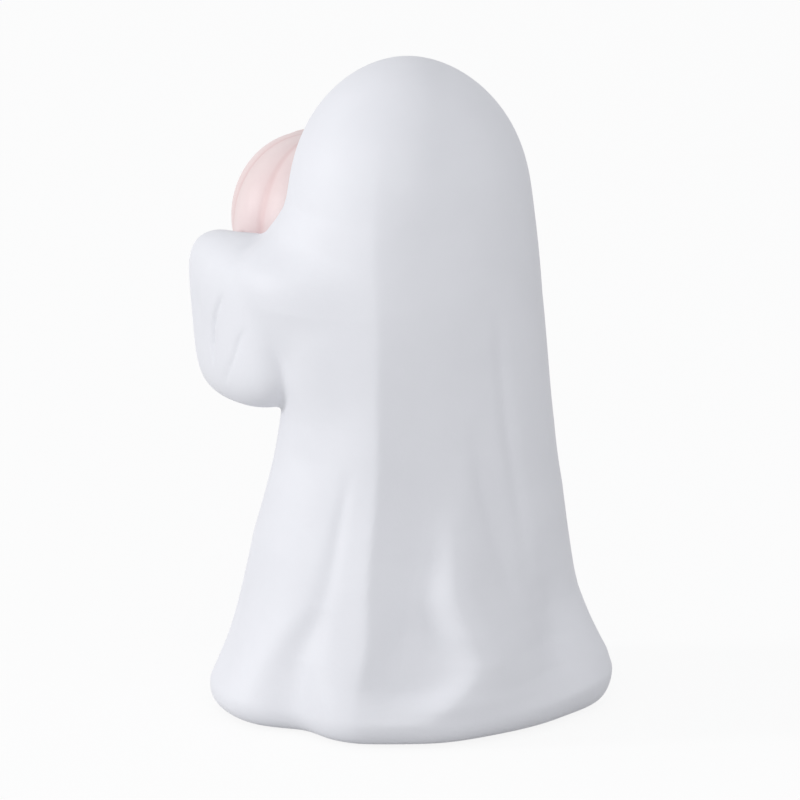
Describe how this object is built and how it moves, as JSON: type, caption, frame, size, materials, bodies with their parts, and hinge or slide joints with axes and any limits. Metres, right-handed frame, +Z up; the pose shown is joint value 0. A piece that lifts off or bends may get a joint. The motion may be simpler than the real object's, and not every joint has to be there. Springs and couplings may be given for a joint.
{
  "type": "ceramic ghost figure",
  "caption": "Free-standing slip-cast ghost draped in a flared sheet, hugging a lobed pumpkin, hollow with a plugged casting hole and felt under its foot.",
  "frame": {"origin": "on the table under the middle of the foot, on the underside of the felt ring", "axes": "+Z up to the crown of the head, the ghost faces -Y, its left is +X"},
  "size_m": [0.0928, 0.1037, 0.15],
  "materials": {
    "white_bisque": "matt white glaze, faint pinholes",
    "pink_glaze": "matt pale pink glaze",
    "stem_glaze": "matt olive glaze",
    "eye_glaze": "glossy black glaze",
    "felt": "die-cut wool felt",
    "soft_plug": "matt soft PVC"
  },
  "bodies": {
    "figure": {"body_shell": "white_bisque", "left_sleeve": "white_bisque", "right_sleeve": "white_bisque", "pumpkin": "pink_glaze", "pumpkin_stem": "stem_glaze", "left_eye": "eye_glaze", "right_eye": "eye_glaze", "base_disc": "white_bisque", "felt_ring": "felt"},
    "stopper": {"base_stopper": "soft_plug"}
  },
  "joints": [
    {"name": "stopper_pull", "type": "slide", "parent": "figure", "child": "stopper", "axis": [0, 0, -1], "range_m": [0, 0.012]}
  ]
}
